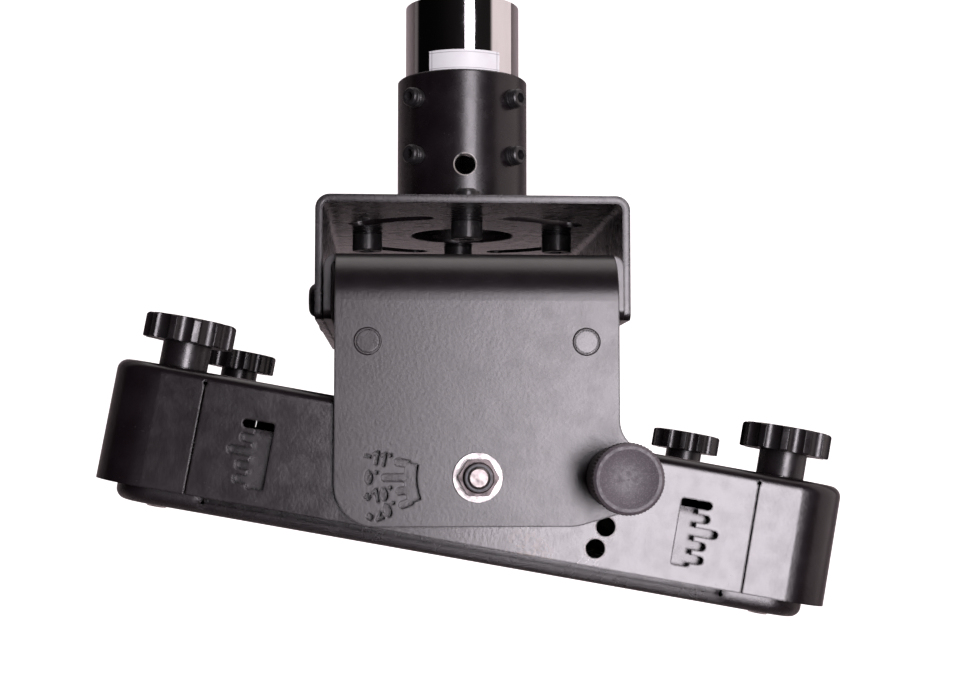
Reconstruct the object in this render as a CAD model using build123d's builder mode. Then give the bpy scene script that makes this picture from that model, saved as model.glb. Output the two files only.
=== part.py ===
from build123d import *
import os
from math import cos, radians, sin, sqrt

# A hanging two-axis mount head. Units are millimetres.
# The origin is the centre of the drop tube's top end. +Z runs up the tube, -Y is the front,
# where the index plunger is, and +X is to the right seen from the front.

os.makedirs("parts", exist_ok=True)

# ---- Driving dimensions -------------------------------------------------------------------

sheet = 3.0  # every bracket is folded from this sheet
gap = 0.3  # room left between faces of different bodies
running = 0.05  # radial clearance of a pin that turns in its hole
seat = 0.05  # radial clearance of a piece fixed in its hole
m8 = 4.0  # radius of every M8 shank
m8_clear = 4.5  # radius of an M8 clearance hole
m8_across_flats = 13.0

# Drop tube and its collar
tube_radius = 25.0
tube_wall = 2.0
tube_length = 92.0
label_thickness = 0.15
label_height = 9.0
label_half_angle = 37.0
collar_top = -33.0
collar_radius = 28.5
flange_radius = 50.0
flange_thickness = 3.0
set_screw_heights = (-44.3, -69.0)
set_screw_stand_out = 5.5
cross_hole_z = -74.0

# Yoke
yoke_top = -98.0
yoke_bottom = -145.5
yoke_half_width = 60.0
yoke_half_depth = 95.0
yoke_bend = 5.5
yoke_centre_hole = 22.5
yoke_bolt_circle = 41.7
yoke_slot_circle = 57.0
yoke_slot_width = 10.0
yoke_slot_arc = 31.0
yoke_slot_azimuths = (55, 125, 235, 305)
screw_head_radius = 6.5
screw_head_height = 7.0

# Side joint between yoke and tilt bracket
side_bolt_y = 45.0
side_bolt_z = -134.0
side_tilt = 3.0  # degrees each way
side_slot_width = 8.6
button_radius = 7.0
button_height = 4.4

# Tilt bracket
bracket_top = -122.0
bracket_half_width = 51.5
bracket_face = 123.0  # outer faces of its front and rear plates, along Y
bracket_bend = 19.0
plate_bottom = -222.4
plate_corner = 15.0
plate_lobe = 13.0
plate_lobe_fillet = 11.0
ear_face = 56.4
ear_half_length = 103.0
ear_bottom = -146.0
ear_bend = 4.5
stud_x = 39.5
stud_z = -155.8
stud_radius = 4.3

# Altitude pivot, index circle and scale
pivot_z = -204.7
rest_angle = 10.2  # the arm hangs this far clockwise, seen from the front
index_radius = 50.0
index_altitudes = (-11, 0, 10, 20)
index_hole = 3.5
scale_inner = 21.6
scale_outer = 26.2
scale_finger_tips = {-11: 30.4, 0: 34.5, 10: 29.6, 20: 29.8}
scale_finger_width = 2.6
scale_labels = {-11: "-11°", 0: "0°", 10: "+10°", 20: "+20°"}

# Arm shell, in the arm's own directions: u along it, w up from the pivot
arm_half_length = 137.0
arm_face = 118.8
arm_corner = 19.0
arm_top = 20.0
arm_bottom = -24.5
arm_bend = 4.0
arm_slit_u = 102.0
arm_slit_top = 16.0
comb_inner = 74.8
comb_outer = 81.4
comb_top = 6.0
comb_bottom = -18.4
comb_finger_w = (4.5, -0.5, -5.5, -10.5, -15.5)
comb_finger_tip = 86.3
comb_middle_tip = 90.0
comb_finger_width = 3.0

# Inner tray
tray_half_length = 129.0
tray_face = 114.6
tray_corner = 15.0
tray_top = 3.0
tray_bottom = -30.5
tray_bend = 4.0
tray_slit_u = 95.6
tray_panel_recess = 1.2
tray_centre_hole = 30.0
payload_half_pitch = 50.0
payload_hole = 3.3

# Height knobs
knob_u = 113.5
knob_y = 100.0
knob_radius = 16.7
knob_bottom = 29.5
knob_top = 38.6
knob_stem_radius = 8.9
knob_flutes = 12
knob_flute_radius = 4.0
knob_flute_depth = 1.8
bush_radius = 7.0
bush_top = -1.0

# Index plunger
plunger_travel = 4.5
plunger_pin = 3.4
plunger_face = 154.0  # front face of its knob, as a distance along -Y
plunger_knob_radius = 12.25
plunger_hub_radius = 11.5

# ---- Planes and shared shapes -------------------------------------------------------------

arm_u = Vector(cos(radians(rest_angle)), 0, -sin(radians(rest_angle)))
arm_w = Vector(sin(radians(rest_angle)), 0, cos(radians(rest_angle)))
pivot = Vector(0, 0, pivot_z)
arm_plane = Plane(origin=pivot, x_dir=arm_u, z_dir=arm_w)
arm_up = Axis(pivot, arm_w)


def arm_side(y):
    """Plane across the arm at y, facing the front, with u to the right and w up."""
    return Plane(origin=pivot + Vector(0, y, 0), x_dir=arm_u, z_dir=(0, -1, 0))


def front(y, x=0.0, z=0.0):
    """Plane facing the front at y, with X to the right and Z up."""
    return Plane(origin=(x, y, z), x_dir=(1, 0, 0), z_dir=(0, -1, 0))


def save(builder, name):
    """Label the finished piece and write its STEP file."""
    builder.part.label = name
    export_step(builder.part, f"parts/{name}.step")


def channel(profile, half_width, top, bottom, bend):
    """Draw, in the sketch named profile, an inverted U of one sheet with bent corners."""
    with Locations((0, (top + bottom) / 2)):
        Rectangle(2 * half_width, top - bottom)
    with Locations((0, (top - sheet + bottom) / 2)):
        Rectangle(2 * (half_width - sheet), top - sheet - bottom, mode=Mode.SUBTRACT)
    fillet(profile.vertices().group_by(Axis.Y)[-2], bend - sheet)
    fillet(profile.vertices().group_by(Axis.Y)[-1], bend)


def draw_glyph(glyph, x):
    """Draw one stencil glyph in the current sketch, with its left edge at x. Return its width."""
    width = glyph_widths[glyph]
    top = glyph_height / 2
    if glyph == "0":
        with Locations((x + width / 2, 0)):
            Ellipse(width / 2, top)
    elif glyph == "1":
        with Locations((x + width - glyph_stroke / 2, 0)):
            Rectangle(glyph_stroke, glyph_height)
        with Locations((x + width / 3, top - glyph_stroke)):
            Rectangle(width / 1.4, glyph_stroke, rotation=flag_angle)
    elif glyph == "2":
        with Locations((x + width / 2, top - width / 2)):
            SlotArc(CenterArc((0, 0), (width - glyph_stroke) / 2, -35, 190), glyph_stroke)
        with Locations((x + width / 2, glyph_stroke - width / 1.6)):
            Rectangle(width * 1.1, glyph_stroke, rotation=diagonal_angle)
        with Locations((x + width / 2, glyph_stroke / 2 - top)):
            Rectangle(width, glyph_stroke)
    elif glyph == "°":
        with Locations((x + width / 2, top - width / 2)):
            Circle(width / 2)
    else:
        with Locations((x + width / 2, 0)):
            Rectangle(width, glyph_stroke)
            if glyph == "+":
                Rectangle(glyph_stroke, width)
    return width


glyph_height = 5.0
glyph_stroke = 1.1
glyph_space = 0.5
glyph_widths = {"0": 2.9, "1": 2.2, "2": 3.0, "°": 1.4, "+": 2.5, "-": 2.5}
flag_angle = 40
diagonal_angle = 50

# ---- Fasteners that repeat, each standing on its seat at z = 0 ------------------------------

nut_hex_height = 4.8
nut_height = 7.0
nut_crown = 5.5
edge_break = 0.6
nut_corner = 7.25
socket_radius = 2.9
washer_radius = 8.9
side_washer_radius = 7.5
washer_thickness = 1.5

with BuildPart() as locking_nut:
    with BuildSketch():
        RegularPolygon(m8_across_flats / 2, 6, major_radius=False)
    extrude(amount=nut_hex_height)
    with BuildSketch():
        Circle(nut_corner)
    extrude(amount=nut_hex_height, mode=Mode.INTERSECT)
    with BuildSketch(Plane.XY.offset(nut_hex_height)):
        Circle(nut_crown)
    extrude(amount=nut_height - nut_hex_height)
    fillet(locking_nut.edges().group_by(Axis.Z)[-1], edge_break)
    Hole(m8 + seat)

with BuildPart() as washer:
    with BuildSketch():
        Circle(washer_radius)
        Circle(m8 + seat, mode=Mode.SUBTRACT)
    extrude(amount=washer_thickness)

# ---- Drop tube and label -------------------------------------------------------------------

with BuildPart() as drop_tube:
    with BuildSketch(Plane.XY.offset(-tube_length)):
        Circle(tube_radius)
        Circle(tube_radius - tube_wall, mode=Mode.SUBTRACT)
    extrude(amount=tube_length)
    with Locations(front(0, z=cross_hole_z)):
        Hole(m8_clear)
save(drop_tube, "drop_tube")

with BuildPart() as tube_label:
    with BuildSketch(Plane.XY.offset(collar_top + gap)):
        with BuildLine():
            CenterArc((0, 0), tube_radius, -90 - label_half_angle, 2 * label_half_angle)
            CenterArc((0, 0), tube_radius + label_thickness, -90 - label_half_angle, 2 * label_half_angle)
            for end in (-90 - label_half_angle, -90 + label_half_angle):
                outward = Vector(1, 0, 0).rotate(Axis.Z, end)
                Line(outward * tube_radius, outward * (tube_radius + label_thickness))
        make_face()
    extrude(amount=label_height)
save(tube_label, "tube_label")

# ---- Collar with its flange ----------------------------------------------------------------

collar_weld = 2.0
set_screw_azimuths = (45, 135, 225, 315)


def around_collar(radius):
    """Places that face outward at every set screw, at this radius."""
    return [
        Plane(
            origin=Vector(radius, 0, z).rotate(Axis.Z, azimuth),
            z_dir=Vector(1, 0, 0).rotate(Axis.Z, azimuth),
        )
        for azimuth in set_screw_azimuths
        for z in set_screw_heights
    ]


with BuildPart() as collar_flange:
    with BuildSketch(Plane.XY.offset(yoke_top)):
        Circle(flange_radius)
        Circle(tube_radius + running, mode=Mode.SUBTRACT)
        with PolarLocations(yoke_bolt_circle, 4):
            Circle(m8_clear, mode=Mode.SUBTRACT)
    extrude(amount=flange_thickness)
save(collar_flange, "collar_flange")

flange_top = yoke_top + flange_thickness

with BuildPart() as collar:
    with BuildSketch(Plane.XY.offset(flange_top)):
        Circle(collar_radius)
    extrude(amount=collar_top - flange_top)
    with BuildSketch(Plane.XY.offset(flange_top)):
        Circle(collar_radius + collar_weld)
    extrude(amount=collar_weld, taper=45)
    chamfer(collar.edges().group_by(Axis.Z)[-1], edge_break)
    with BuildSketch(Plane.XY.offset(flange_top)):
        Circle(tube_radius + running)
    extrude(amount=collar_top - flange_top, mode=Mode.SUBTRACT)
    with Locations(front(0, z=cross_hole_z)):
        Hole(m8_clear)
    with Locations(around_collar(collar_radius + 1)):
        Hole(m8 + seat, depth=collar_radius - tube_radius + 2)
save(collar, "collar")

set_screw_length = collar_radius + set_screw_stand_out - tube_radius - running

with BuildPart() as set_screw:
    with BuildSketch():
        Circle(m8)
    extrude(amount=set_screw_length)
    chamfer(set_screw.edges().group_by(Axis.Z)[0], edge_break)
    chamfer(set_screw.edges().group_by(Axis.Z)[-1], edge_break)
    with BuildSketch(Plane.XY.offset(set_screw_length)):
        RegularPolygon(2.0, 6, major_radius=False)
    extrude(amount=-3.5, mode=Mode.SUBTRACT)

with BuildPart() as collar_set_screws:
    with Locations(around_collar(tube_radius + running)):
        add(set_screw.part)
save(collar_set_screws, "collar_set_screws")

# ---- Yoke and its bolts --------------------------------------------------------------------

side_slot_travel = 2 * 2 * side_bolt_y * sin(radians(side_tilt))  # of a rear bolt about a front one
yoke_wall_corner = 3.0

with BuildPart() as yoke:
    with BuildSketch(Plane.XZ) as yoke_profile:
        channel(yoke_profile, yoke_half_width, yoke_top, yoke_bottom, yoke_bend)
    extrude(amount=yoke_half_depth, both=True)
    with BuildSketch(Plane.XY.offset(yoke_top)):
        Circle(yoke_centre_hole)
        with PolarLocations(yoke_bolt_circle, 4):
            Circle(m8_clear)
        for azimuth in yoke_slot_azimuths:
            SlotArc(
                CenterArc((0, 0), yoke_slot_circle, azimuth - yoke_slot_arc / 2, yoke_slot_arc),
                yoke_slot_width,
            )
    extrude(amount=-sheet, mode=Mode.SUBTRACT)
    with BuildSketch(Plane.YZ):
        with Locations((-side_bolt_y, side_bolt_z)):
            Circle(m8 + running)
        with Locations((side_bolt_y, side_bolt_z)):
            SlotOverall(side_slot_width + side_slot_travel, side_slot_width, rotation=90)
    extrude(amount=yoke_half_width, both=True, mode=Mode.SUBTRACT)
    fillet(yoke.edges().filter_by(Axis.X).group_by(Axis.Z)[0], yoke_wall_corner)
save(yoke, "yoke")

yoke_bolt_length = sheet + flange_thickness + nut_height + 1.0

with BuildPart() as yoke_bolt:
    with BuildSketch():
        Circle(m8)
    extrude(amount=yoke_bolt_length)
    chamfer(yoke_bolt.edges().group_by(Axis.Z)[-1], edge_break)
    with BuildSketch():
        Circle(screw_head_radius)
    extrude(amount=-screw_head_height)
    fillet(yoke_bolt.edges().group_by(Axis.Z)[0], edge_break)
    with BuildSketch(Plane.XY.offset(-screw_head_height)):
        RegularPolygon(socket_radius, 6, major_radius=False)
    extrude(amount=screw_head_height / 2, mode=Mode.SUBTRACT)

with BuildPart() as yoke_bolts:
    with Locations((0, 0, yoke_top - sheet)):
        with PolarLocations(yoke_bolt_circle, 4):
            add(yoke_bolt.part)
save(yoke_bolts, "yoke_bolts")

with BuildPart() as yoke_nuts:
    with Locations((0, 0, flange_top)):
        with PolarLocations(yoke_bolt_circle, 4):
            add(locking_nut.part)
save(yoke_nuts, "yoke_nuts")

# ---- Tilt bracket --------------------------------------------------------------------------

plate_split = bracket_top - bracket_bend - 2.0  # the cut front plate hangs below this height
lobe_x = index_radius
slant_start = 35.7
slant_run = 17.9
slant_rise = 5.2
inside_face = bracket_face - sheet
sleeve_radius = 6.0
ear_corner = 4.0

with BuildPart() as tilt_bracket:
    with BuildSketch(Plane.YZ) as bracket_profile:
        channel(bracket_profile, bracket_face, bracket_top, plate_split, bracket_bend)
    extrude(amount=bracket_half_width, both=True)
    with BuildSketch(Plane.XZ) as ear_profile:
        channel(ear_profile, ear_face, bracket_top, ear_bottom, ear_bend)
    extrude(amount=ear_half_length, both=True)
    fillet(tilt_bracket.edges().filter_by(Axis.X).group_by(Axis.Z)[0], ear_corner)
    with BuildSketch(front(-inside_face)) as plate:
        with BuildLine():
            Polyline(
                (-bracket_half_width, plate_split),
                (-bracket_half_width, plate_bottom),
                (slant_start, plate_bottom),
                (slant_start + slant_run, plate_bottom + slant_rise),
                (lobe_x, pivot_z),
                (bracket_half_width, pivot_z),
                (bracket_half_width, plate_split),
                close=True,
            )
        make_face()
        with Locations((lobe_x, pivot_z)):
            Circle(plate_lobe)
        lobe_corner = (bracket_half_width, pivot_z + plate_lobe)
        fillet(plate.vertices().sort_by_distance(lobe_corner)[0], plate_lobe_fillet)
        fillet(plate.vertices().sort_by_distance((-bracket_half_width, plate_bottom))[0], plate_corner)
        fillet(plate.vertices().sort_by_distance((slant_start, plate_bottom))[0], plate_corner)
        with Locations((0, pivot_z)):
            Circle(m8 + seat, mode=Mode.SUBTRACT)
        with Locations((lobe_x, pivot_z)):
            Circle(sleeve_radius, mode=Mode.SUBTRACT)
        with Locations((-stud_x, stud_z), (stud_x, stud_z)):
            Circle(stud_radius, mode=Mode.SUBTRACT)
    extrude(amount=sheet)
    with BuildSketch(front(-inside_face, z=pivot_z)):
        with BuildLine():
            start = 180 + index_altitudes[0] - 1
            sweep_angle = index_altitudes[-1] - index_altitudes[0] + 2
            CenterArc((0, 0), scale_inner, start, sweep_angle)
            CenterArc((0, 0), scale_outer, start, sweep_angle)
            for end in (start, start + sweep_angle):
                outward = Vector(1, 0, 0).rotate(Axis.Z, end)
                Line(outward * scale_inner, outward * scale_outer)
        make_face()
        for altitude, tip in scale_finger_tips.items():
            reach = Vector(-(scale_outer + tip) / 2 + 1, 0, 0).rotate(Axis.Z, altitude)
            with Locations(Location(reach, (0, 0, altitude))):
                SlotOverall(tip - scale_outer + 2, scale_finger_width)
    extrude(amount=sheet, mode=Mode.SUBTRACT)
    for altitude, text in scale_labels.items():
        width = sum(glyph_widths[glyph] + glyph_space for glyph in text)
        along = (cos(radians(altitude)), 0, sin(radians(altitude)))
        with BuildSketch(Plane(origin=(0, -inside_face, pivot_z), x_dir=along, z_dir=(0, -1, 0))):
            left = -scale_finger_tips[altitude] - glyph_space - width
            for glyph in text:
                left += draw_glyph(glyph, left) + glyph_space
        extrude(amount=sheet, mode=Mode.SUBTRACT)
    with BuildSketch(front(inside_face)) as rear_plate:
        with Locations((0, (plate_split + plate_bottom) / 2)):
            Rectangle(2 * bracket_half_width, plate_split - plate_bottom)
        fillet(rear_plate.vertices().group_by(Axis.Y)[0], plate_corner)
        with Locations((0, pivot_z)):
            Circle(m8 + seat, mode=Mode.SUBTRACT)
    extrude(amount=-sheet)
    with BuildSketch(Plane.YZ):
        with Locations((-side_bolt_y, side_bolt_z), (side_bolt_y, side_bolt_z)):
            Circle(m8 + seat)
    extrude(amount=ear_face, both=True, mode=Mode.SUBTRACT)
save(tilt_bracket, "tilt_bracket")

with BuildPart() as clinch_studs:
    with BuildSketch(front(-inside_face)):
        with Locations((-stud_x, stud_z), (stud_x, stud_z)):
            Circle(stud_radius - seat)
    extrude(amount=sheet - seat)
    with BuildSketch(front(-inside_face)):
        with Locations((-stud_x, stud_z), (stud_x, stud_z)):
            Circle(stud_radius / 2)
    extrude(amount=-stud_radius)
save(clinch_studs, "clinch_studs")

# ---- Side bolts ----------------------------------------------------------------------------


def side_places(x):
    """Places facing outward on both sides, at this distance from the middle."""
    return [
        Plane(origin=(side * x, y, side_bolt_z), z_dir=(side, 0, 0))
        for side in (-1, 1)
        for y in (-side_bolt_y, side_bolt_y)
    ]


ear_inside = ear_face - sheet
side_bolt_reach = yoke_half_width - ear_inside + washer_thickness + nut_height + 1.0

with BuildPart() as side_bolt:
    with BuildSketch():
        Circle(m8)
    extrude(amount=-side_bolt_reach - gap)
    with BuildSketch():
        Circle(button_radius)
    extrude(amount=button_height)
    fillet(side_bolt.edges().group_by(Axis.Z)[-1], button_height - 0.8)
    with BuildSketch(Plane.XY.offset(button_height)):
        RegularPolygon(socket_radius, 6, major_radius=False)
    extrude(amount=-button_height / 2, mode=Mode.SUBTRACT)

with BuildPart() as side_bolts:
    with Locations(side_places(yoke_half_width + gap)):
        add(side_bolt.part)
save(side_bolts, "side_bolts")

with BuildPart() as side_washers:
    for place in side_places(ear_inside - washer_thickness):
        with BuildSketch(place):
            Circle(side_washer_radius)
            Circle(m8 + seat, mode=Mode.SUBTRACT)
        extrude(amount=washer_thickness)
save(side_washers, "side_washers")

with BuildPart() as side_nuts:
    with Locations([Plane(p.origin, z_dir=-p.z_dir) for p in side_places(ear_inside - washer_thickness)]):
        add(locking_nut.part)
save(side_nuts, "side_nuts")

# ---- Altitude pivot ------------------------------------------------------------------------

arm_inside = arm_face - sheet
pivot_head_height = 5.3
spacer_radius = 10.0


def pivot_places(y, inward=False):
    """Places on the pivot axis, front and rear, facing away from the middle or towards it."""
    turn = -1 if inward else 1
    return [
        Plane(origin=(0, side * y, pivot_z), x_dir=(1, 0, 0), z_dir=(0, side * turn, 0))
        for side in (-1, 1)
    ]


pivot_shank = bracket_face + washer_thickness + nut_height + 0.8 - arm_inside + gap

with BuildPart() as pivot_bolt:
    with BuildSketch():
        RegularPolygon(m8_across_flats / 2, 6, major_radius=False)
    extrude(amount=-pivot_head_height)
    with BuildSketch():
        Circle(m8)
    extrude(amount=pivot_shank)
    chamfer(pivot_bolt.edges().group_by(Axis.Z)[-1], 0.8)

with BuildPart() as pivot_bolts:
    with Locations(pivot_places(arm_inside - gap)):
        add(pivot_bolt.part)
save(pivot_bolts, "pivot_bolts")

with BuildPart() as pivot_spacers:
    for place in pivot_places(inside_face, inward=True):
        with BuildSketch(place):
            Circle(spacer_radius)
            Circle(m8 + seat, mode=Mode.SUBTRACT)
        extrude(amount=inside_face - arm_face - running)
save(pivot_spacers, "pivot_spacers")

with BuildPart() as pivot_washers:
    with Locations(pivot_places(bracket_face)):
        add(washer.part)
save(pivot_washers, "pivot_washers")

with BuildPart() as pivot_nuts:
    with Locations(pivot_places(bracket_face + washer_thickness)):
        add(locking_nut.part)
save(pivot_nuts, "pivot_nuts")

# ---- Index plunger -------------------------------------------------------------------------
# Profiles are drawn as (distance from the plunger's axis, Y), and turned about that axis.

plunger_axis = Axis((lobe_x, 0, pivot_z), (0, 1, 0))
plunger_plane = Plane(origin=(lobe_x, 0, pivot_z), x_dir=(1, 0, 0), z_dir=(0, 0, 1))
plunger_bore = plunger_pin + 0.05
flange_flats = 16.0
flange_end = bracket_face + 3.5
barrel_radius = 6.6
barrel_end = 139.0
chamber_radius = 5.4
chamber_start = 125.6
chamber_end = 137.6
pin_tip = 119.4
pin_end = 150.0
pin_collar_radius = 5.0
pin_collar = (131.2, 132.2)
knob_back = bracket_face + plunger_travel + 0.6
knob_recess = 9.9
knob_recess_end = barrel_end + plunger_travel + 0.6
knob_dish_radius = 10.2
knob_dish_depth = 2.0
knob_dish_curve = (knob_dish_radius**2 + knob_dish_depth**2) / (2 * knob_dish_depth)
knob_dish_sag = knob_dish_curve - sqrt(knob_dish_curve**2 - (knob_dish_radius / 2) ** 2)
knob_rim = 9.0

with BuildPart() as plunger_sleeve:
    with BuildSketch(front(-bracket_face, lobe_x, pivot_z)):
        RegularPolygon(flange_flats / 2, 6, major_radius=False)
    extrude(amount=flange_end - bracket_face)
    with BuildSketch(front(-inside_face, lobe_x, pivot_z)):
        Circle(sleeve_radius - seat)
    extrude(amount=sheet)
    with BuildSketch(front(-flange_end, lobe_x, pivot_z)):
        Circle(barrel_radius)
    extrude(amount=barrel_end - flange_end)
    with BuildSketch(front(-inside_face, lobe_x, pivot_z)):
        Circle(plunger_bore)
    extrude(amount=barrel_end - inside_face, mode=Mode.SUBTRACT)
    with BuildSketch(front(-chamber_start, lobe_x, pivot_z)):
        Circle(chamber_radius)
    extrude(amount=chamber_end - chamber_start, mode=Mode.SUBTRACT)
save(plunger_sleeve, "plunger_sleeve")

with BuildPart() as plunger_pin_part:
    with BuildSketch(front(-pin_tip, lobe_x, pivot_z)):
        Circle(plunger_pin)
    extrude(amount=pin_end - pin_tip)
    chamfer(plunger_pin_part.edges().group_by(Axis.Y)[-1], edge_break)
    with BuildSketch(front(-pin_collar[0], lobe_x, pivot_z)):
        Circle(pin_collar_radius)
    extrude(amount=pin_collar[1] - pin_collar[0])
save(plunger_pin_part, "plunger_pin")

with BuildPart() as plunger_knob:
    with BuildSketch(plunger_plane):
        with BuildLine():
            Polyline(
                (plunger_bore, -pin_end),
                (plunger_bore, -knob_recess_end),
                (knob_recess, -knob_recess_end),
                (knob_recess, -knob_back),
                (plunger_hub_radius - 0.6, -knob_back),
                (plunger_hub_radius, -knob_back - 0.6),
                (plunger_hub_radius, -plunger_face + knob_rim + 0.5),
                (plunger_knob_radius, -plunger_face + knob_rim - 0.3),
                (plunger_knob_radius, -plunger_face + 0.9),
                (plunger_knob_radius - 0.9, -plunger_face),
                (knob_dish_radius, -plunger_face),
            )
            ThreePointArc(
                (knob_dish_radius, -plunger_face),
                (knob_dish_radius / 2, -plunger_face + knob_dish_depth - knob_dish_sag),
                (0, -plunger_face + knob_dish_depth),
            )
            Polyline((0, -plunger_face + knob_dish_depth), (0, -pin_end), (plunger_bore, -pin_end))
        make_face()
    revolve(axis=plunger_axis)
save(plunger_knob, "plunger_knob")

spring_wire = 0.35
spring_radius = 4.5
spring_turns = 4
spring_start = pin_collar[1] + spring_wire + seat
spring_end = chamber_end - spring_wire - seat

with BuildPart() as plunger_spring:
    with BuildLine() as spring_path:
        Helix(
            pitch=(spring_end - spring_start) / spring_turns,
            height=spring_end - spring_start,
            radius=spring_radius,
            center=(lobe_x, -spring_start, pivot_z),
            direction=(0, -1, 0),
        )
    with BuildSketch(Plane(origin=spring_path.line @ 0, z_dir=spring_path.line % 0)):
        Circle(spring_wire)
    sweep()
save(plunger_spring, "plunger_spring")

# ---- Arm shell -----------------------------------------------------------------------------

slit = 0.5
slit_notch = 0.75
comb_corner = 1.0
knob_places = {
    "front_left": (-knob_u, -knob_y),
    "front_right": (knob_u, -knob_y),
    "rear_left": (-knob_u, knob_y),
    "rear_right": (knob_u, knob_y),
}

with BuildPart() as arm_shell:
    with BuildSketch(arm_plane.offset(arm_bottom)):
        RectangleRounded(2 * arm_half_length, 2 * arm_face, arm_corner)
    extrude(amount=arm_top - arm_bottom)
    fillet(arm_shell.faces().sort_by(arm_up)[-1].edges(), arm_bend)
    with BuildSketch(arm_plane.offset(arm_bottom)):
        RectangleRounded(2 * (arm_half_length - sheet), 2 * arm_inside, arm_corner - sheet)
    extrude(amount=arm_top - sheet - arm_bottom, mode=Mode.SUBTRACT)
    with BuildSketch(arm_side(0)):
        with Locations((0, 0)):
            Circle(m8 + running)
        for side in (-1, 1):
            with Locations((side * arm_slit_u, (arm_bottom + arm_slit_top) / 2)):
                Rectangle(slit, arm_slit_top - arm_bottom)
            with Locations((side * arm_slit_u, arm_slit_top)):
                Circle(slit_notch)
    extrude(amount=arm_face, both=True, mode=Mode.SUBTRACT)
    with BuildSketch(arm_side(-arm_inside)):
        for side in (-1, 1):
            with Locations((side * (comb_inner + comb_outer) / 2, (comb_top + comb_bottom) / 2)):
                RectangleRounded(comb_outer - comb_inner, comb_top - comb_bottom, comb_corner)
            for w in comb_finger_w:
                tip = comb_middle_tip if w == comb_finger_w[2] else comb_finger_tip
                with Locations((side * (comb_outer - comb_corner + tip) / 2, w)):
                    SlotOverall(tip - comb_outer + comb_corner, comb_finger_width)
        for altitude in index_altitudes:
            below_pin = altitude - index_altitudes[0]
            spot = Vector(index_radius, 0, 0).rotate(Axis.Z, rest_angle - below_pin)
            with Locations((spot.X, spot.Y)):
                Circle(index_hole)
    extrude(amount=sheet, mode=Mode.SUBTRACT)
    with BuildSketch(arm_plane.offset(arm_top - sheet)):
        with Locations(*knob_places.values()):
            Circle(m8 + running)
    extrude(amount=sheet, mode=Mode.SUBTRACT)
save(arm_shell, "arm_shell")

# ---- Inner tray ----------------------------------------------------------------------------

pivot_notch_half = 15.0
pivot_notch_bottom = -13.0
index_notch = (40.0, 58.0)
index_notch_bottom = -22.5
tray_inside = tray_face - sheet
tray_slit_bottom = tray_bottom + tray_bend
tray_floor = tray_bottom + sheet
tray_height = tray_top - tray_bottom

with BuildPart() as inner_tray:
    with BuildSketch(arm_plane.offset(tray_bottom)):
        RectangleRounded(2 * tray_half_length, 2 * tray_face, tray_corner)
    extrude(amount=tray_height)
    fillet(inner_tray.faces().sort_by(arm_up)[0].edges(), tray_bend)
    with BuildSketch(arm_plane.offset(tray_floor)):
        RectangleRounded(2 * (tray_half_length - sheet), 2 * tray_inside, tray_corner - sheet)
    extrude(amount=tray_height, mode=Mode.SUBTRACT)
    with BuildSketch(arm_plane.offset(tray_bottom + tray_bend)):
        with Locations((0, -tray_face), (0, tray_face)):
            Rectangle(2 * tray_slit_u, 2 * tray_panel_recess)
    extrude(amount=tray_height, mode=Mode.SUBTRACT)
    with BuildSketch(arm_side(0)):
        with Locations((0, (pivot_notch_bottom + tray_top) / 2)):
            Rectangle(2 * pivot_notch_half, tray_top - pivot_notch_bottom)
        with Locations((sum(index_notch) / 2, (index_notch_bottom + tray_top) / 2)):
            Rectangle(index_notch[1] - index_notch[0], tray_top - index_notch_bottom)
        for side in (-1, 1):
            with Locations((side * tray_slit_u, (tray_slit_bottom + tray_top) / 2)):
                Rectangle(slit, tray_top - tray_slit_bottom)
            with Locations((side * tray_slit_u, tray_slit_bottom)):
                Circle(slit_notch)
    extrude(amount=tray_face, both=True, mode=Mode.SUBTRACT)
    with BuildSketch(arm_plane.offset(tray_bottom)):
        Circle(tray_centre_hole)
        with Locations(*knob_places.values()):
            Circle(m8 + gap)
        with GridLocations(2 * payload_half_pitch, 2 * payload_half_pitch, 2, 2):
            Circle(payload_hole)
    extrude(amount=sheet, mode=Mode.SUBTRACT)
save(inner_tray, "inner_tray")

with BuildPart() as lift_bushes:
    with BuildSketch(arm_plane.offset(tray_floor)):
        with Locations(*knob_places.values()):
            Circle(bush_radius)
            Circle(m8 + running, mode=Mode.SUBTRACT)
    extrude(amount=bush_top - tray_floor)
save(lift_bushes, "lift_bushes")

# ---- Height knobs --------------------------------------------------------------------------

screw_tip = tray_bottom - 1.0
screw_top = knob_bottom + 5.0
ring_top = arm_top - sheet - gap
ring_thickness = 1.5
knob_edge = 1.2
knob_dish = 0.7

with BuildPart() as height_knob:
    with BuildSketch(Plane.XY.offset(knob_bottom)):
        Circle(knob_radius)
    extrude(amount=knob_top - knob_bottom)
    fillet(height_knob.edges().group_by(Axis.Z)[-1], knob_edge)
    fillet(height_knob.edges().group_by(Axis.Z)[0], edge_break)
    with BuildSketch(Plane.XY.offset(knob_bottom)):
        with PolarLocations(knob_radius + knob_flute_radius - knob_flute_depth, knob_flutes):
            Circle(knob_flute_radius)
    extrude(amount=knob_top - knob_bottom, mode=Mode.SUBTRACT)
    with BuildSketch(Plane.XY.offset(knob_top)):
        Circle(knob_radius * 0.68)
    extrude(amount=-knob_dish, mode=Mode.SUBTRACT)
    with BuildSketch(Plane.XY.offset(arm_top + gap)):
        Circle(knob_stem_radius)
    extrude(amount=knob_bottom - arm_top - gap)
    with BuildSketch(Plane.XY.offset(arm_top + gap)):
        Circle(m8 + seat)
    extrude(amount=screw_top - arm_top - gap, mode=Mode.SUBTRACT)

with BuildPart() as knob_screw:
    with BuildSketch(Plane.XY.offset(screw_tip)):
        Circle(m8)
    extrude(amount=screw_top - seat - screw_tip)
    chamfer(knob_screw.edges().group_by(Axis.Z)[0], edge_break)

with BuildPart() as knob_ring:
    with BuildSketch(Plane.XY.offset(ring_top)):
        Circle(bush_radius)
        Circle(m8 + seat, mode=Mode.SUBTRACT)
    extrude(amount=-ring_thickness)

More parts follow.
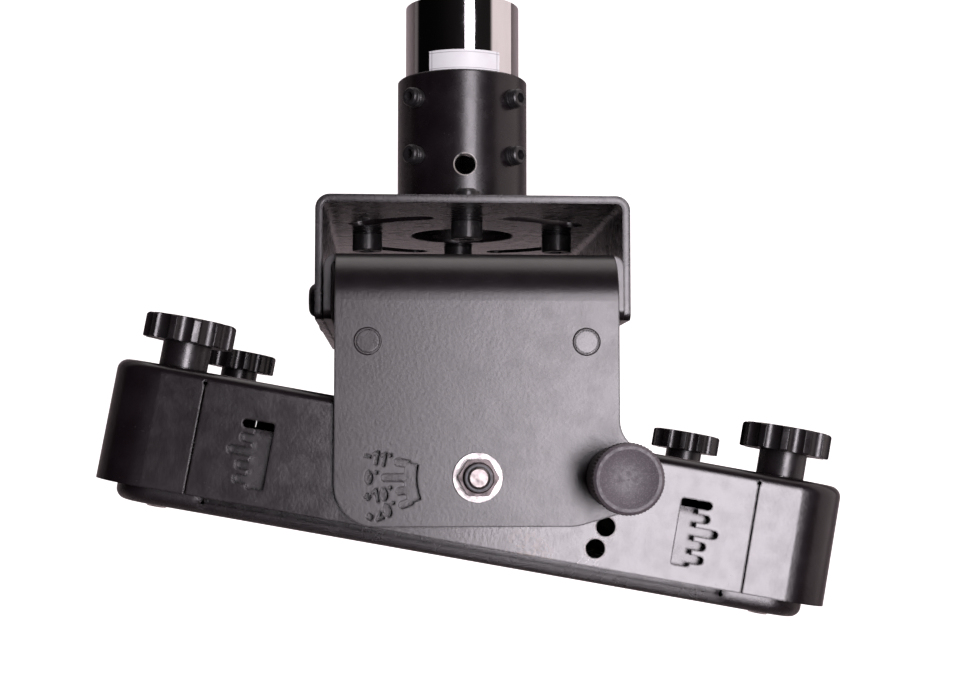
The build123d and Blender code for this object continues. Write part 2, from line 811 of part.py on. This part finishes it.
knob_kit = {"knob": height_knob, "knob_screw": knob_screw, "knob_ring": knob_ring}
for corner, (u, y) in knob_places.items():
    for kind, piece in knob_kit.items():
        with BuildPart() as placed:
            with Locations(arm_plane.location * Location((u, y, 0))):
                add(piece.part)
        save(placed, f"{kind}_{corner}")
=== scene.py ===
import math

import bpy
from mathutils import Matrix, Vector


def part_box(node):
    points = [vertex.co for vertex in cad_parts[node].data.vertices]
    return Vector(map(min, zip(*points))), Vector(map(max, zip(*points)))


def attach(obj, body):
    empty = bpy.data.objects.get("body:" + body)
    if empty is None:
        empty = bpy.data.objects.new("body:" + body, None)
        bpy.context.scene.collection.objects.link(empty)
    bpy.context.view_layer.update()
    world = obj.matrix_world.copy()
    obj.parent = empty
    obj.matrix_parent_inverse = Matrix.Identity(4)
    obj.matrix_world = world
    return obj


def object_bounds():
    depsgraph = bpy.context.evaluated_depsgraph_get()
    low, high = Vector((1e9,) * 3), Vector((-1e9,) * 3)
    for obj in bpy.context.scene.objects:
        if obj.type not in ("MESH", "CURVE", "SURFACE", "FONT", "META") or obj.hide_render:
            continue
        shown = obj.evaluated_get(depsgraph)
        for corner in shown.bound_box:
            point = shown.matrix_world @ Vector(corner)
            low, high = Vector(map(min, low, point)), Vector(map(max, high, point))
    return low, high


# Looks of a hanging two-axis mount head. Metres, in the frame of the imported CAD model:
# +Z runs up the drop tube, -Y is the front, and +X is to the right seen from the front.

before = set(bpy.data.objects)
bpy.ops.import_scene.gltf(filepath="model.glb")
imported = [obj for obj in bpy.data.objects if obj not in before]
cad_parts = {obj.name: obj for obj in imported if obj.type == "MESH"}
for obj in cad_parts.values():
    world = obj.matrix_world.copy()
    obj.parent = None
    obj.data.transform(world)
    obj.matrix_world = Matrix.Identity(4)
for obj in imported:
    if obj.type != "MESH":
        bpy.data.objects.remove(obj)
cad_box = [list(corner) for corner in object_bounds()]

MM = 0.001


# ---- Places taken from the frame ------------------------------------------------------------


def middle(node):
    """Centre of a CAD node's box."""
    low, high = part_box(node)
    return (low + high) / 2


pivot = middle("pivot_bolts")
pin = middle("plunger_pin")
arm_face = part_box("arm_shell")[0].y
index_radius = pin.x - pivot.x
index_steps = [math.radians(step) for step in (0, 11, 21, 31)]  # below the pin at rest
index_hole = 3.5 * MM  # radius


def index_place(angle):
    """Centre of an index hole in the arm's front face, this far below the pin's at rest."""
    across = index_radius * math.cos(angle)
    down = index_radius * math.sin(angle)
    return Vector((pivot.x + across, arm_face, pivot.z - down))


# ---- Node graphs ----------------------------------------------------------------------------


class Finish:
    """One procedural material. Its pattern is fixed to the piece, because its place is the piece's own."""

    def __init__(self, name, colour, roughness, metallic=0.0, specular=0.5):
        self.material = bpy.data.materials.new(name)
        self.material.use_nodes = True
        self.tree = self.material.node_tree
        self.tree.nodes.clear()
        self.shader = self.add("ShaderNodeBsdfPrincipled")
        output = self.add("ShaderNodeOutputMaterial")
        self.tree.links.new(self.shader.outputs["BSDF"], output.inputs["Surface"])
        self.shader.inputs["Metallic"].default_value = metallic
        self.shader.inputs["Specular IOR Level"].default_value = specular
        self.place = self.add("ShaderNodeTexCoord").outputs["Object"]
        self.colour = (*colour, 1.0)
        self.roughness = roughness
        self.normal = None

    def add(self, kind, **settings):
        node = self.tree.nodes.new(kind)
        for key, value in settings.items():
            setattr(node, key, value)
        return node

    def put(self, socket, value):
        """Link a socket to an output, or set its number or colour."""
        if isinstance(value, bpy.types.NodeSocket):
            self.tree.links.new(value, socket)
        else:
            socket.default_value = value

    def math(self, operation, a, b=0.0):
        node = self.add("ShaderNodeMath", operation=operation)
        self.put(node.inputs[0], a)
        self.put(node.inputs[1], b)
        return node.outputs[0]

    def vector(self, operation, a, b=(0, 0, 0)):
        node = self.add("ShaderNodeVectorMath", operation=operation)
        self.put(node.inputs[0], a)
        self.put(node.inputs[1], b)
        return node.outputs["Value" if operation in ("LENGTH", "DOT_PRODUCT") else "Vector"]

    def noise(self, grain, detail=2.0, rough=0.5, stretch=(1, 1, 1)):
        """Noise from 0 to 1 whose grains are about this many metres across."""
        scaled = self.vector("MULTIPLY", self.place, stretch)
        node = self.add("ShaderNodeTexNoise")
        self.put(node.inputs["Vector"], scaled)
        node.inputs["Scale"].default_value = 1.0 / grain
        node.inputs["Detail"].default_value = detail
        node.inputs["Roughness"].default_value = rough
        return node.outputs["Fac"]

    def span(self, value, low, high, to_low=0.0, to_high=1.0):
        """A smooth step of value from low to high."""
        node = self.add("ShaderNodeMapRange", interpolation_type="SMOOTHSTEP")
        self.put(node.inputs["Value"], value)
        node.inputs["From Min"].default_value = low
        node.inputs["From Max"].default_value = high
        node.inputs["To Min"].default_value = to_low
        node.inputs["To Max"].default_value = to_high
        return node.outputs["Result"]

    def blend(self, share, colour):
        """Mix a colour over the present one. A colour mix's sockets come after those for numbers."""
        node = self.add("ShaderNodeMix", data_type="RGBA")
        self.put(node.inputs[0], share)
        self.put(node.inputs[6], self.colour)
        self.put(node.inputs[7], (*colour, 1.0))
        self.colour = node.outputs[2]

    def roughen(self, share, roughness):
        """Mix a roughness over the present one."""
        node = self.add("ShaderNodeMix", data_type="FLOAT")
        self.put(node.inputs[0], share)
        self.put(node.inputs[2], self.roughness)
        self.put(node.inputs[3], roughness)
        self.roughness = node.outputs[0]

    def bump(self, height, distance):
        """Raise the surface by height, times distance in metres."""
        node = self.add("ShaderNodeBump")
        node.inputs["Strength"].default_value = 1.0
        node.inputs["Distance"].default_value = distance
        self.put(node.inputs["Height"], height)
        if self.normal is not None:
            self.put(node.inputs["Normal"], self.normal)
        self.normal = node.outputs["Normal"]

    def round_edges(self, radius):
        """Soften sharp edges, so that they catch the light."""
        node = self.add("ShaderNodeBevel", samples=4)
        node.inputs["Radius"].default_value = radius
        self.normal = node.outputs["Normal"]

    def axis_distance(self, point, axis="Y"):
        """Distance from the line through point along a frame axis."""
        keep = tuple(0.0 if name == axis else 1.0 for name in "XYZ")
        away = self.vector("SUBTRACT", self.place, tuple(point))
        return self.vector("LENGTH", self.vector("MULTIPLY", away, keep))

    def band(self, value, centre, half_width):
        """1 where value is at centre, falling to 0 at half_width from it."""
        off = self.math("ABSOLUTE", self.math("SUBTRACT", value, centre))
        return self.span(off, half_width, half_width * 0.3)

    def axis(self, name):
        node = self.add("ShaderNodeSeparateXYZ")
        self.put(node.inputs[0], self.place)
        return node.outputs[name]

    def done(self):
        self.put(self.shader.inputs["Base Color"], self.colour)
        self.put(self.shader.inputs["Roughness"], self.roughness)
        if self.normal is not None:
            self.put(self.shader.inputs["Normal"], self.normal)
        return self.material


# ---- Finishes -------------------------------------------------------------------------------

COAT = (0.0060, 0.0040, 0.0050)
COAT_PALE = (0.0100, 0.0075, 0.0090)
BARE = (0.42, 0.39, 0.38)
DUST = (0.12, 0.11, 0.11)

CROSS_HOLE = 4.5 * MM  # radius
CROSS_HOLE_RISE = 21 * MM  # above the collar's lowest point


def powder_coat(name, peel=0.02 * MM, edge=0.9 * MM, gloss=0.25):
    """Satin black powder coat with orange peel, faint mottling and specks of dust."""
    finish = Finish(name, COAT, gloss)
    finish.round_edges(edge)
    finish.blend(finish.span(finish.noise(14 * MM, 3), 0.35, 0.75), COAT_PALE)
    finish.roughen(finish.span(finish.noise(6 * MM, 3), 0.35, 0.7), gloss + 0.04)
    dust = finish.span(finish.noise(0.7 * MM, 1), 0.74, 0.80)
    finish.blend(finish.math("MULTIPLY", dust, 0.2), DUST)
    finish.bump(finish.noise(1.4 * MM, 2, 0.45), peel)
    finish.bump(finish.noise(0.7 * MM, 1), peel / 8)
    return finish


def bracket_coat():
    """Powder coat with the shallow rings that the clinched studs leave in the front plate."""
    finish = powder_coat("bracket_coat", 0.03 * MM, gloss=0.29)
    low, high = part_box("clinch_studs")
    radius = (high.z - low.z) / 2
    height = (low.z + high.z) / 2
    for x in (low.x + radius, high.x - radius):
        away = finish.axis_distance((x, 0, height))
        finish.bump(finish.band(away, radius, 0.9 * MM), 0.25 * MM)
        finish.blend(finish.math("MULTIPLY", finish.band(away, radius, 0.5 * MM), 0.35), DUST)
    scuffs = finish.span(finish.noise(0.6 * MM, 2, 0.6, (0.08, 1, 1)), 0.70, 0.76)
    finish.blend(finish.math("MULTIPLY", scuffs, 0.10), DUST)
    return finish.done()


def arm_coat():
    """Powder coat worn by the plunger: bare rims at the index holes and arcs between them."""
    finish = powder_coat("arm_coat", 0.03 * MM, gloss=0.22)
    front = finish.span(finish.axis("Y"), arm_face + 1 * MM, arm_face + 0.5 * MM)
    patch = finish.noise(2.5 * MM, 3)
    for angle in index_steps:
        away = finish.axis_distance(index_place(angle))
        rim = finish.band(away, index_hole + 0.2 * MM, 0.7 * MM)
        rim = finish.math("MULTIPLY", rim, finish.span(patch, 0.3, 0.5))
        rim = finish.math("MULTIPLY", rim, front)
        finish.blend(finish.math("MULTIPLY", rim, 0.55), BARE)
        finish.roughen(rim, 0.30)
    sweep = finish.axis_distance(pivot)
    streaks = finish.noise(1.2 * MM, 2)
    for radius, width, share in ((0.0, 0.35, 0.25), (-2.3, 0.25, 0.2), (2.6, 0.2, 0.2), (3.9, 0.15, 0.15)):
        arc = finish.band(sweep, index_radius + radius * MM, width * MM)
        arc = finish.math("MULTIPLY", arc, finish.span(streaks, 0.42, 0.6))
        arc = finish.math("MULTIPLY", arc, front)
        low = finish.span(finish.axis("Z"), pivot.z - 5 * MM, pivot.z - 12 * MM)
        right = finish.span(finish.axis("X"), pivot.x + 26 * MM, pivot.x + 34 * MM)
        arc = finish.math("MULTIPLY", arc, finish.math("MULTIPLY", low, right))
        finish.blend(finish.math("MULTIPLY", arc, share), BARE)
    worn = finish.axis_distance(pivot + Vector((18 * MM, 0, -27 * MM)))
    worn = finish.math("MULTIPLY", finish.span(worn, 13 * MM, 3 * MM), finish.span(patch, 0.45, 0.62))
    finish.blend(finish.math("MULTIPLY", finish.math("MULTIPLY", worn, front), 0.35), (0.13, 0.08, 0.055))
    return finish.done()


def plain_coat(name, edge=0.9 * MM):
    return powder_coat(name, edge=edge).done()


def collar_coat():
    """Powder coat with a pale rim at the cross bolt's hole: partly bare metal, partly a painted highlight
    of the glint on the hole's chamfer.
    """
    finish = powder_coat("collar_coat")
    low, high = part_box("collar")
    away = finish.axis_distance((0, 0, low.z + CROSS_HOLE_RISE))
    rim = finish.band(away, CROSS_HOLE + 0.1 * MM, 0.6 * MM)
    rim = finish.math("MULTIPLY", rim, finish.span(finish.noise(1.5 * MM, 2), 0.3, 0.5))
    # Pale rim colour: bare metal, and also a painted highlight standing in for the glint on the chamfer
    finish.blend(rim, (0.30, 0.28, 0.26))
    return finish.done()


def chrome():
    """Polished chrome with a trace of wiping marks."""
    finish = Finish("chrome", (0.80, 0.79, 0.80), 0.045, metallic=1.0)
    wipes = finish.span(finish.noise(5 * MM, 3, 0.6, (1, 1, 0.25)), 0.4, 0.8)
    finish.roughen(finish.math("MULTIPLY", wipes, 0.5), 0.14)
    finish.blend(finish.math("MULTIPLY", wipes, 0.3), (0.62, 0.61, 0.64))
    finish.bump(finish.noise(9 * MM, 1), 0.01 * MM)
    return finish.done()


def black_steel(name):
    """Black oxide on steel, rubbed paler here and there."""
    finish = Finish(name, (0.018, 0.017, 0.018), 0.34, metallic=0.25)
    finish.round_edges(0.3 * MM)
    rubbed = finish.span(finish.noise(1.6 * MM, 4), 0.52, 0.72)
    finish.blend(finish.math("MULTIPLY", rubbed, 0.4), (0.09, 0.085, 0.085))
    finish.roughen(rubbed, 0.44)
    finish.bump(finish.noise(0.4 * MM, 2), 0.02 * MM)
    return finish.done()


def zinc(name, colour, roughness, turned_about=None):
    """Plated steel. Turned faces have fine rings about their axis, and other faces a fine grain."""
    finish = Finish(name, colour, roughness, metallic=1.0)
    finish.round_edges(0.25 * MM)
    if turned_about is not None:
        rings = finish.add("ShaderNodeTexWave", wave_type="RINGS", rings_direction="Y")
        finish.put(rings.inputs["Vector"], finish.vector("SUBTRACT", finish.place, tuple(turned_about)))
        rings.inputs["Scale"].default_value = 1 / (1.6 * MM)
        rings.inputs["Distortion"].default_value = 1.5
        finish.bump(rings.outputs["Fac"], 0.012 * MM)
    mottle = finish.span(finish.noise(2.2 * MM, 4), 0.4, 0.75)
    finish.blend(finish.math("MULTIPLY", mottle, 0.5), tuple(c * 0.55 for c in colour))
    finish.roughen(mottle, roughness + 0.14)
    finish.bump(finish.noise(0.3 * MM, 2), 0.012 * MM)
    return finish.done()


def glossy_nylon():
    """Moulded black nylon of the height knobs."""
    finish = Finish("knob_nylon", (0.008, 0.006, 0.007), 0.27)
    finish.round_edges(0.5 * MM)
    finish.roughen(finish.span(finish.noise(4 * MM, 3), 0.4, 0.7), 0.36)
    finish.blend(finish.span(finish.noise(9 * MM, 2), 0.4, 0.8), (0.010, 0.009, 0.010))
    finish.bump(finish.noise(0.5 * MM, 2), 0.02 * MM)
    return finish.done()


def grained_plastic():
    """Dark grey plastic of the plunger knob, with a fine grain and scuffs."""
    finish = Finish("plunger_plastic", (0.066, 0.057, 0.064), 0.46)
    finish.round_edges(0.4 * MM)
    finish.blend(finish.span(finish.noise(0.5 * MM, 2), 0.45, 0.75), (0.120, 0.106, 0.116))
    scuff = finish.span(finish.noise(0.8 * MM, 2, 0.6, (0.3, 1, 1)), 0.68, 0.75)
    finish.blend(finish.math("MULTIPLY", scuff, 0.35), (0.20, 0.19, 0.19))
    finish.roughen(finish.span(finish.noise(2 * MM, 3), 0.4, 0.7), 0.62)
    finish.bump(finish.noise(0.45 * MM, 2), 0.05 * MM)
    return finish.done()


def dull_nylon(name, colour):
    """Unpolished nylon of spacers and locking inserts."""
    finish = Finish(name, colour, 0.5)
    finish.blend(finish.span(finish.noise(1.5 * MM, 3), 0.4, 0.7), tuple(c * 1.6 for c in colour))
    finish.roughen(finish.span(finish.noise(0.8 * MM, 2), 0.4, 0.7), 0.6)
    finish.bump(finish.noise(0.4 * MM, 2), 0.02 * MM)
    return finish.done()


def label_stock():
    """Blank white label with a thin printed border."""
    finish = Finish("label_stock", (0.70, 0.71, 0.72), 0.42)
    low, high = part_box("tube_label")
    inset = 1.1 * MM
    line = 0.22 * MM  # half the width of the border's line
    ink = (0.28, 0.27, 0.29)
    for height in (low.z + inset, high.z - inset):
        border = finish.band(finish.axis("Z"), height, line)
        finish.blend(finish.math("MULTIPLY", border, 0.8), ink)
    side = finish.math("ABSOLUTE", finish.axis("X"))
    border = finish.band(side, high.x - inset, line)
    finish.blend(finish.math("MULTIPLY", border, 0.8), ink)
    finish.blend(finish.span(finish.noise(6 * MM, 3), 0.45, 0.9), (0.66, 0.64, 0.66))
    finish.roughen(finish.span(finish.noise(3 * MM, 2), 0.4, 0.7), 0.5)
    finish.bump(finish.noise(0.2 * MM, 2), 0.01 * MM)
    return finish.done()


plated = zinc("plated_steel", (0.72, 0.69, 0.68), 0.26)
washer_steel = zinc("washer_steel", (0.41, 0.385, 0.38), 0.42, pivot)
nut_steel = zinc("nut_steel", (0.058, 0.050, 0.050), 0.34)
bolt_steel = zinc("bolt_steel", (0.25, 0.225, 0.22), 0.42, pivot)
oxide = black_steel("black_oxide")
bolt_oxide = black_steel("bolt_oxide")
nylon = dull_nylon("spacer_nylon", (0.02, 0.02, 0.021))
insert_nylon = dull_nylon("insert_nylon", (0.05, 0.05, 0.055))
knob_nylon = glossy_nylon()
head_coat = plain_coat("head_coat")
tray_coat = plain_coat("tray_coat", 4.5 * MM)

finishes = {
    "drop_tube": chrome(),
    "tube_label": label_stock(),
    "collar": collar_coat(),
    "collar_flange": head_coat,
    "yoke": plain_coat("yoke_coat", 1.9 * MM),
    "tilt_bracket": bracket_coat(),
    "clinch_studs": head_coat,
    "arm_shell": arm_coat(),
    "inner_tray": tray_coat,
    "collar_set_screws": oxide,
    "yoke_bolts": bolt_oxide,
    "yoke_nuts": bolt_oxide,
    "side_bolts": bolt_oxide,
    "side_washers": oxide,
    "side_nuts": oxide,
    "pivot_bolts": bolt_steel,
    "pivot_washers": washer_steel,
    "pivot_nuts": nut_steel,
    "pivot_spacers": nylon,
    "plunger_sleeve": oxide,
    "plunger_pin": plated,
    "plunger_spring": plated,
    "plunger_knob": grained_plastic(),
    "lift_bushes": plated,
}


def finish_of(node):
    """The finish of a CAD node; the four height knobs share theirs."""
    if node.startswith("knob_screw_") or node.startswith("knob_ring_"):
        return plated
    if node.startswith("knob_"):
        return knob_nylon
    return finishes[node]


for node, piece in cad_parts.items():
    piece.data.materials.clear()
    piece.data.materials.append(finish_of(node))

# ---- Added pieces ---------------------------------------------------------------------------


def new_mesh(name, points, faces, material, body):
    """A mesh in the row frame that rides on a body."""
    mesh = bpy.data.meshes.new(name)
    mesh.from_pydata(points, [], faces)
    mesh.update()
    mesh.materials.append(material)
    piece = bpy.data.objects.new(name, mesh)
    bpy.context.scene.collection.objects.link(piece)
    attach(piece, body)
    return piece


def turn_frame(start, direction):
    """Matrix whose Z runs along direction from start."""
    return Matrix.Translation(start) @ direction.to_track_quat("Z", "Y").to_matrix().to_4x4()


THREAD_PITCH = 1.25 * MM
THREAD_DEPTH = 0.32 * MM
THREAD_ROOT = 0.05 * MM  # the ridge's foot stands this deep in the shank
THREAD_STEPS = 32  # a turn


def thread(name, start, direction, length, radius, material, body):
    """The ridge of a screw thread that stands on a shank, from start along direction."""
    place = turn_frame(start, direction.normalized())
    turns = length / THREAD_PITCH - 1
    count = int(turns * THREAD_STEPS)
    points = []
    for step in range(count + 1):
        angle = step / THREAD_STEPS * math.tau
        height = step / THREAD_STEPS * THREAD_PITCH
        ease = min(1.0, step / THREAD_STEPS * 2, (count - step) / THREAD_STEPS * 2)
        for out, up in ((-THREAD_ROOT, 0.05), (THREAD_DEPTH * ease, 0.5), (-THREAD_ROOT, 0.95)):
            reach = radius + out
            spot = Vector((reach * math.cos(angle), reach * math.sin(angle), height + up * THREAD_PITCH))
            points.append(place @ spot)
    faces = []
    for step in range(count):
        a, b = step * 3, step * 3 + 3
        faces += [(a, b, b + 1, a + 1), (a + 1, b + 1, b + 2, a + 2), (a + 2, b + 2, b, a)]
    faces += [(0, 1, 2), (count * 3 + 2, count * 3 + 1, count * 3)]
    return new_mesh(name, points, faces, material, body)


M8 = 4.0 * MM  # radius of an M8 shank
COLLAR_RADIUS = 28.5 * MM
SCREW_STAND_OUT = 5.0 * MM  # length of a set screw's thread beyond the collar
SCREW_SHANK = M8 - 0.1 * MM
PIVOT_SHANK = M8 - 0.3 * MM
PIVOT_THREAD = 3.0 * MM
PIVOT_THREAD_DEPTH = 2.2 * MM  # how far inside its nut the pivot's thread starts

# Threads of the collar's set screws, between the collar and their outer ends
screw_low, screw_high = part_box("collar_set_screws")
for azimuth in (45, 135, 225, 315):
    outward = Vector((math.cos(math.radians(azimuth)), math.sin(math.radians(azimuth)), 0))
    for level, height in (("upper", screw_high.z - M8), ("lower", screw_low.z + M8)):
        start = outward * COLLAR_RADIUS + Vector((0, 0, height))
        name = f"set_screw_thread_{level}_{azimuth}"
        thread(name, start, outward, SCREW_STAND_OUT, SCREW_SHANK, oxide, "head")

# Threads on the ends of the pivot bolts, beyond their nuts
nut_low, nut_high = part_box("pivot_nuts")
pivot_ends = (("front", -1, nut_low.y), ("rear", 1, nut_high.y))
for end, direction, start_y in pivot_ends:
    start = Vector((pivot.x, start_y - direction * PIVOT_THREAD_DEPTH, pivot.z))
    outward = Vector((0, direction, 0))
    name = f"pivot_thread_{end}"
    thread(name, start, outward, PIVOT_THREAD, PIVOT_SHANK, bolt_steel, "bracket")


def ring(name, centre, direction, inner, outer, height, material, body):
    """A turned ring with a rounded outer edge, standing on centre along direction."""
    steps = 48
    bevel = height * 0.4
    place = turn_frame(centre, direction)
    profile = ((inner, 0), (outer, 0), (outer, height * 0.6), (outer - bevel, height), (inner, height))
    points = [
        place @ Vector((reach * math.cos(turn), reach * math.sin(turn), up))
        for turn in (math.tau * step / steps for step in range(steps))
        for reach, up in profile
    ]
    size = len(profile)
    faces = []
    for step in range(steps):
        here, there = step * size, (step + 1) % steps * size
        for k in range(size):
            n = (k + 1) % size
            faces.append((here + k, there + k, there + n, here + n))
    return new_mesh(name, points, faces, material, body)


INSERT_INNER = M8 + 0.05 * MM
INSERT_OUTER = 4.9 * MM
INSERT_HEIGHT = 0.35 * MM
INSERT_BURIED = 0.1 * MM

# Nylon inserts at the mouths of the pivot's locking nuts
for end, direction, start_y in pivot_ends:
    mouth = Vector((pivot.x, start_y - direction * INSERT_BURIED, pivot.z))
    ring(f"pivot_nut_insert_{end}", mouth, Vector((0, direction, 0)), INSERT_INNER, INSERT_OUTER,
         INSERT_HEIGHT, insert_nylon, "bracket")


def knurled_rim(name, material):
    """The plunger knob's rim: a band with fine ribs along its axis."""
    low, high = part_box("plunger_knob")
    radius = (high.x - low.x) / 2
    centre = Vector(((low.x + high.x) / 2, low.y, (low.z + high.z) / 2))
    ribs = 60
    points_a_rib = 6
    deep = 0.28 * MM
    buried = 0.1 * MM
    steps = ribs * points_a_rib
    # Distance behind the face, and whether the band stands out there or is buried in the knob
    stations = ((0.9 * MM, False), (1.5 * MM, True), (8.0 * MM, True), (8.6 * MM, False))
    points = []
    for step in range(steps):
        turn = math.tau * step / steps
        wave = 0.5 - 0.5 * math.cos(math.tau * step / points_a_rib)
        for back, stands_out in stations:
            reach = radius + (deep * wave if stands_out else -buried)
            points.append(centre + Vector((reach * math.cos(turn), back, reach * math.sin(turn))))
    size = len(stations)
    faces = []
    for step in range(steps):
        here, there = step * size, (step + 1) % steps * size
        for k in range(size):
            n = (k + 1) % size
            faces.append((here + k, here + n, there + n, there + k))
    return new_mesh(name, points, faces, material, "plunger")


knurled_rim("plunger_knob_knurl", finishes["plunger_knob"])

# ---- Stage, light and camera ----------------------------------------------------------------


def backdrop():
    """A pale floor that curves up into a wall. It glows for the camera alone, so reflections stay dim."""
    floor_z = -1.4
    wall_y = 2.4
    curve = 0.9
    half_width = 5.0
    top = 3.2
    near = -4.0
    curve_steps = 24
    line = [(near, floor_z), (wall_y - curve, floor_z)]
    line += [
        (wall_y - curve + curve * math.sin(t), floor_z + curve - curve * math.cos(t))
        for t in (math.pi / 2 * k / curve_steps for k in range(1, curve_steps + 1))
    ]
    line.append((wall_y, top))
    points = [(side * half_width, y, z) for y, z in line for side in (-1, 1)]
    faces = [(2 * k, 2 * k + 1, 2 * k + 3, 2 * k + 2) for k in range(len(line) - 1)]
    mesh = bpy.data.meshes.new("backdrop")
    mesh.from_pydata(points, [], faces)
    mesh.shade_smooth()
    sheet = bpy.data.objects.new("backdrop", mesh)
    bpy.context.scene.collection.objects.link(sheet)
    finish = Finish("backdrop_paper", (0.16, 0.14, 0.14), 0.9, specular=0.1)
    finish.blend(finish.span(finish.axis("Y"), -0.2, 0.9), (0.86, 0.78, 0.78))
    finish.shader.inputs["Emission Color"].default_value = (1, 1, 1, 1)
    seen = finish.add("ShaderNodeLightPath").outputs["Is Camera Ray"]
    finish.put(finish.shader.inputs["Emission Strength"], finish.math("MULTIPLY", seen, 1.0))
    mesh.materials.append(finish.done())


def softbox(name, place, target, width, height, radiance, colour=(1, 1, 1)):
    """A rectangular area light with this radiance."""
    data = bpy.data.lights.new(name, "AREA")
    data.shape = "RECTANGLE"
    data.size, data.size_y = width, height
    data.energy = radiance * math.pi * width * height
    data.color = colour
    light = bpy.data.objects.new(name, data)
    light.location = place
    light.rotation_euler = (Vector(target) - Vector(place)).to_track_quat("-Z", "Y").to_euler()
    bpy.context.scene.collection.objects.link(light)


def studio_world():
    """White to the camera; to the object, dark in front and to the left, pale behind and to the right."""
    world = bpy.data.worlds.new("studio")
    bpy.context.scene.world = world
    world.use_nodes = True
    tree = world.node_tree
    tree.nodes.clear()
    output = tree.nodes.new("ShaderNodeOutputWorld")
    mix = tree.nodes.new("ShaderNodeMixShader")
    seen = tree.nodes.new("ShaderNodeBackground")
    around = tree.nodes.new("ShaderNodeBackground")
    path = tree.nodes.new("ShaderNodeLightPath")
    where = tree.nodes.new("ShaderNodeTexCoord")
    side = tree.nodes.new("ShaderNodeVectorMath")
    side.operation = "DOT_PRODUCT"
    side.inputs[1].default_value = (0.42, 1.0, 0.0)
    edge = tree.nodes.new("ShaderNodeMapRange")
    edge.interpolation_type = "SMOOTHSTEP"
    edge.inputs["From Min"].default_value = -0.22
    edge.inputs["From Max"].default_value = -0.06
    edge.inputs["To Min"].default_value = 0.012
    edge.inputs["To Max"].default_value = 0.90
    across = tree.nodes.new("ShaderNodeSeparateXYZ")
    left = tree.nodes.new("ShaderNodeMapRange")
    left.interpolation_type = "SMOOTHSTEP"
    left.inputs["From Min"].default_value = -1.0
    left.inputs["From Max"].default_value = 0.3
    left.inputs["To Min"].default_value = 0.15
    left.inputs["To Max"].default_value = 1.0
    both = tree.nodes.new("ShaderNodeMath")
    both.operation = "MULTIPLY"
    seen.inputs["Color"].default_value = (1, 1, 1, 1)
    around.inputs["Color"].default_value = WARM
    link = tree.links.new
    link(where.outputs["Generated"], side.inputs[0])
    link(side.outputs["Value"], edge.inputs["Value"])
    link(where.outputs["Generated"], across.inputs[0])
    link(across.outputs["X"], left.inputs["Value"])
    link(edge.outputs["Result"], both.inputs[0])
    link(left.outputs["Result"], both.inputs[1])
    link(both.outputs[0], around.inputs["Strength"])
    link(path.outputs["Is Camera Ray"], mix.inputs["Fac"])
    link(around.outputs["Background"], mix.inputs[1])
    link(seen.outputs["Background"], mix.inputs[2])
    link(mix.outputs["Shader"], output.inputs["Surface"])


LILAC = (1.0, 0.93, 1.0)
WARM = (1.0, 0.86, 0.86, 1)
FRONT = -2.0  # the front lights stand here along Y
centre = (Vector(cad_box[0]) + Vector(cad_box[1])) / 2

backdrop()
studio_world()
for name, x, z, width, height, radiance in (
    ("front_right_low", 0.46, -0.32, 0.68, 0.84, 21.0),
    ("front_right_high", 0.46, 0.40, 0.68, 0.60, 12.0),
    ("low_left", -0.95, -0.50, 1.10, 0.60, 0.45),
):
    softbox(name, (x, FRONT, z), (x, 0, z), width, height, radiance, LILAC)
softbox("overhead", (0.1, 0.3, 1.3), centre, 1.4, 1.0, 0.9)

LENS = 58.6  # mm, on a sensor 36 mm wide
SENSOR = 36.0
CAMERA_PLACE = (-31.2 * MM, -681.5 * MM, -193.4 * MM)
LOOK_RIGHT = math.radians(3.21)
LOOK_UP = math.radians(3.53)

camera_data = bpy.data.cameras.new("camera")
camera_data.lens = LENS
camera_data.sensor_width = SENSOR
camera_data.clip_start = 0.01
camera = bpy.data.objects.new("camera", camera_data)
camera.location = CAMERA_PLACE
camera.rotation_euler = (math.pi / 2 + LOOK_UP, 0, -LOOK_RIGHT)
bpy.context.scene.collection.objects.link(camera)
bpy.context.scene.camera = camera
bpy.context.scene.view_settings.view_transform = "Standard"
